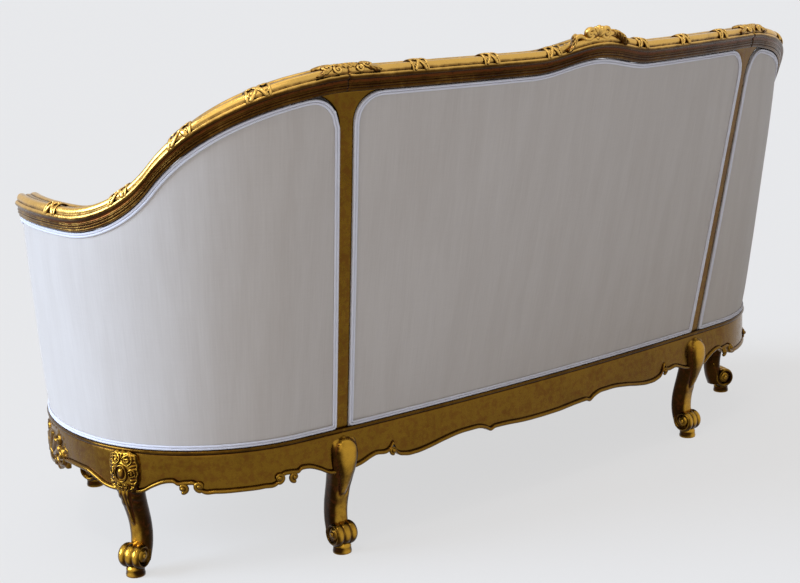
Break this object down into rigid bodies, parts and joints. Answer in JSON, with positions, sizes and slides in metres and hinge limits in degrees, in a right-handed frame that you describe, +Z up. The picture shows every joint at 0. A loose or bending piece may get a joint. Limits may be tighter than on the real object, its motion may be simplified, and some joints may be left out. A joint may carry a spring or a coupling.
{
  "type": "cabriole sofa",
  "caption": "Basket-shaped cabriole sofa: curved upholstered wall in a carved show-wood frame that sweeps from crest to arms, on scroll-footed cabriole legs.",
  "frame": {"origin": "on the floor, midway across and midway between the back of the crest and the front legs' knees", "axes": "+Z up, the sofa faces -Y, the sitter's left is +X"},
  "size_m": [2.0622, 1.0667, 1.076],
  "materials": {
    "carved_gilt": "carved beech, water gilded over red-brown bole, highlights burnished and rubbed, recesses darkened",
    "shaded_gilt": "the same gilding, duller and more toned, on rails and posts",
    "bare_beech": "planed beech, bare",
    "cover_fabric": "pale grey-beige plain silk-like cloth with faint upright slubs",
    "welt_cord": "white double welt",
    "jute": "woven jute",
    "black_cloth": "thin black lining cloth",
    "spring_steel": "bright drawn wire"
  },
  "bodies": {
    "frame": {"back_seat_rail": "shaded_gilt", "left_wing_seat_rail": "shaded_gilt", "right_wing_seat_rail": "shaded_gilt", "left_side_seat_rail": "shaded_gilt", "right_side_seat_rail": "shaded_gilt", "front_seat_rail": "shaded_gilt", "left_back_leg": "carved_gilt", "right_back_leg": "carved_gilt", "left_side_leg": "carved_gilt", "right_side_leg": "carved_gilt", "left_front_corner_leg": "carved_gilt", "right_front_corner_leg": "carved_gilt", "left_front_middle_leg": "carved_gilt", "right_front_middle_leg": "carved_gilt", "left_back_post": "shaded_gilt", "right_back_post": "shaded_gilt", "crest_rail": "carved_gilt", "left_arm_rail": "carved_gilt", "right_arm_rail": "carved_gilt", "left_arm_support": "carved_gilt", "right_arm_support": "carved_gilt", "back_tacking_rail": "bare_beech", "left_tacking_rail": "bare_beech", "right_tacking_rail": "bare_beech", "leg_dowels": "bare_beech", "crest_dowels": "bare_beech", "corner_blocks": "bare_beech", "webbing_battens": "bare_beech", "outside_back_panel": "cover_fabric", "left_outside_panel": "cover_fabric", "right_outside_panel": "cover_fabric", "back_welt": "welt_cord", "left_welt": "welt_cord", "right_welt": "welt_cord", "inside_back_pad": "cover_fabric", "left_inside_pad": "cover_fabric", "right_inside_pad": "cover_fabric", "seat_webbing": "jute", "seat_springs": "spring_steel", "spring_canvas": "jute", "sprung_seat": "cover_fabric", "dust_cover": "black_cloth"},
    "cushion": {"seat_cushion": "cover_fabric"}
  },
  "joints": [
    {"name": "cushion_lift", "type": "slide", "parent": "frame", "child": "cushion", "axis": [0, 0, 1], "range_m": [0, 0.5]}
  ]
}
